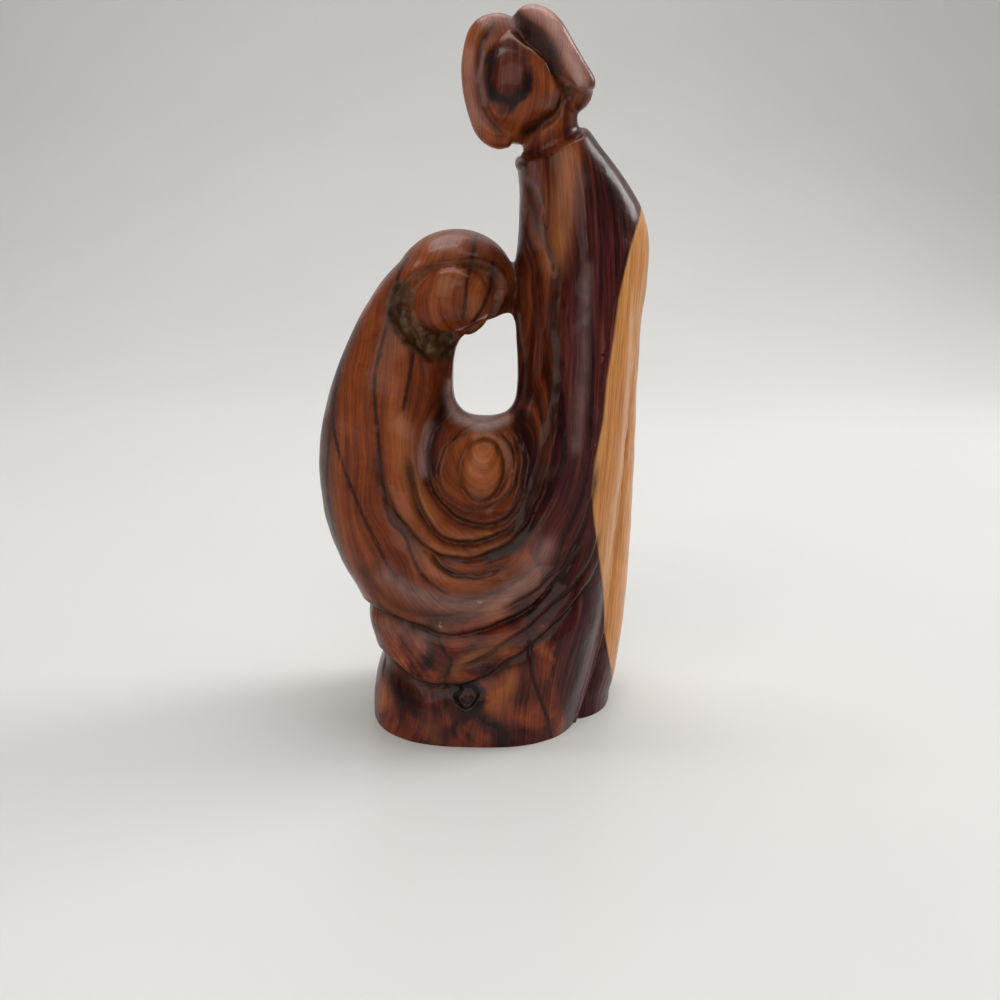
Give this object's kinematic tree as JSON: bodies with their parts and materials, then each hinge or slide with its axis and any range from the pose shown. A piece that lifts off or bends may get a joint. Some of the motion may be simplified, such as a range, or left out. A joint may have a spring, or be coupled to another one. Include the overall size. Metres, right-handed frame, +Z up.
{
  "type": "holy family figurine",
  "caption": "Standing figure bending over a seated, hooded figure that holds a swaddled child, carved in the round from a single block of olive wood on a flat foot.",
  "frame": {"origin": "on the floor under the middle of the carving's bounding box", "axes": "+Z up along the carving's height, +Y from the carved front to the back, +X from the bowed figure to the standing figure"},
  "size_m": [0.0782, 0.0554, 0.165],
  "materials": {
    "olive_wood": "high gloss lacquer"
  },
  "bodies": {
    "root": {"holy_family_carving": "olive_wood"}
  },
  "joints": []
}
